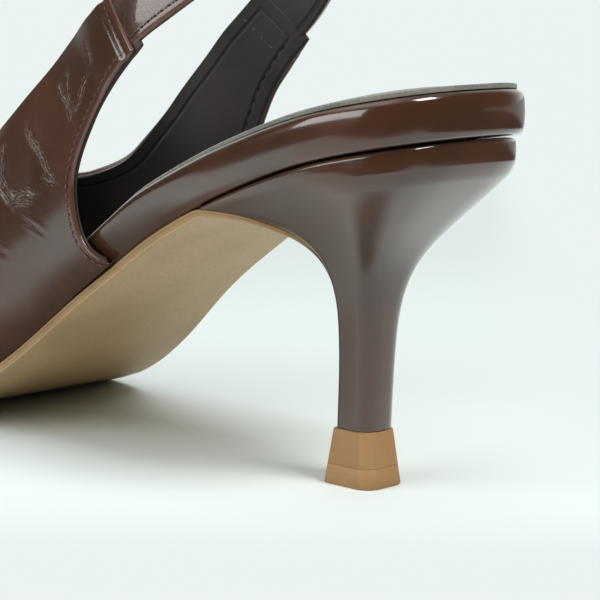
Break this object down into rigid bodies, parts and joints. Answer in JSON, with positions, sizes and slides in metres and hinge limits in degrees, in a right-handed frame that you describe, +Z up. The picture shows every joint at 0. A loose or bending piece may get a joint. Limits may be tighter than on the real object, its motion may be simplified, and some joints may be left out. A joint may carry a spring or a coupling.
{
  "type": "slingback pump",
  "caption": "Right slingback pump with a closed almond toe, two side wings, a rear ankle strap and a slim mid-height heel with a flared tip.",
  "frame": {"origin": "on the floor, at the middle of the heel tip's wearing face", "axes": "+Z up, +X towards the toe, +Y towards the inner (medial) side of the foot"},
  "size_m": [0.246, 0.0743, 0.1422],
  "materials": {
    "heel_tip": "matt tan rubber",
    "heel_lift": "satin stacked leather",
    "heel": "plastic block wrapped in glossy dark brown leather",
    "outsole": "satin tan",
    "footbed": "glossy dark brown, wrapped",
    "sock": "matt black",
    "upper": "glossy dark brown, finely creased",
    "sling_strap": "glossy dark brown, stitched"
  },
  "bodies": {
    "root": {"heel_tip": "heel_tip", "heel_lift": "heel_lift", "heel": "heel", "outsole": "outsole", "footbed": "footbed", "sock": "sock", "upper": "upper", "sling_strap": "sling_strap"}
  },
  "joints": []
}
